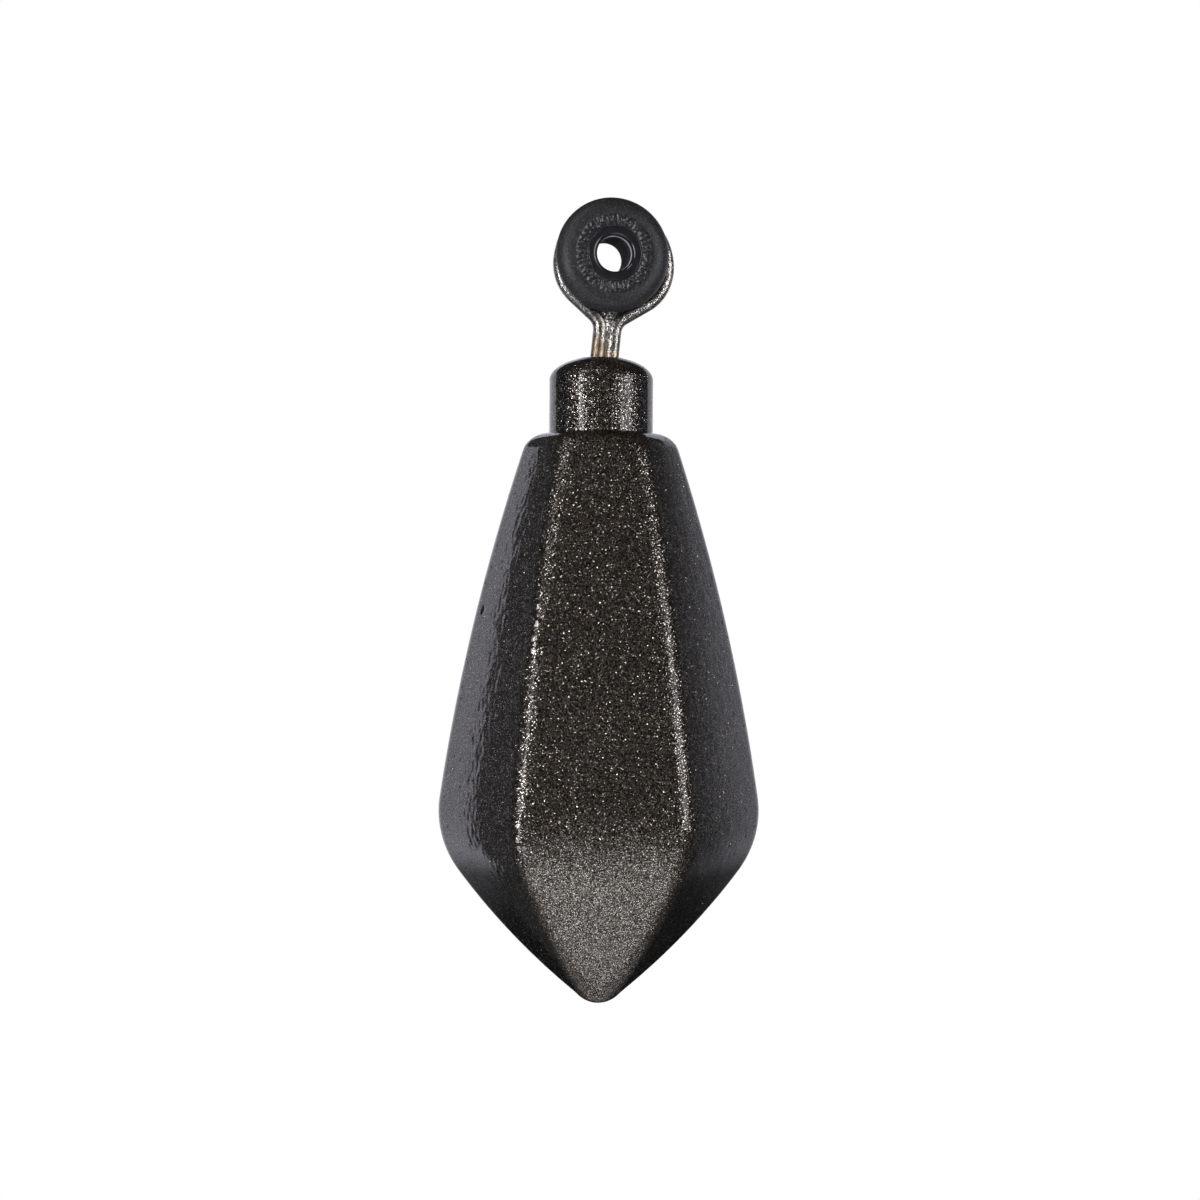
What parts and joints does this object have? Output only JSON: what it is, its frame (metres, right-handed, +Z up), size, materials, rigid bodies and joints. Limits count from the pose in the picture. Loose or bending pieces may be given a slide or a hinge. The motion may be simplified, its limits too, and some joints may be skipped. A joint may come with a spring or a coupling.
{
  "type": "fishing sinker",
  "caption": "Faceted cast fishing weight with a blunt point, a domed swivel neck and a free-turning wire eye that holds a grooved bead with a hard bush for the line.",
  "frame": {"origin": "on the swivel's axis, level with the centre of the line eye's bore", "axes": "+Z up the swivel's axis from the tip to the eye, -Y out of the front facet, +X to the right seen from the front"},
  "size_m": [0.02, 0.0178, 0.0502],
  "materials": {
    "flake_paint": "dark brown-black paint with fine metal flake, semi-gloss",
    "coated_wire": "the same dark flake paint on brass wire, thin near the neck",
    "brass_wire": "drawn wire, dull",
    "bead_black": "moulded satin black",
    "bush_black": "polished black"
  },
  "bodies": {
    "sinker": {"sinker_body": "flake_paint", "swivel_barrel": "flake_paint", "anchor_ring": "brass_wire"},
    "eye": {"eye_wire": "coated_wire"},
    "bead": {"line_bead": "bead_black", "line_bush": "bush_black"}
  },
  "joints": [
    {"name": "eye_swivel", "type": "hinge", "parent": "sinker", "child": "eye", "pos_m": [0, 0, -0.00835], "axis": [0, 0, 1], "continuous": true},
    {"name": "bead_spin", "type": "hinge", "parent": "eye", "child": "bead", "pos_m": [0.00046, 0.00008, 0], "axis": [0.1616, -0.9869, 0], "continuous": true}
  ]
}
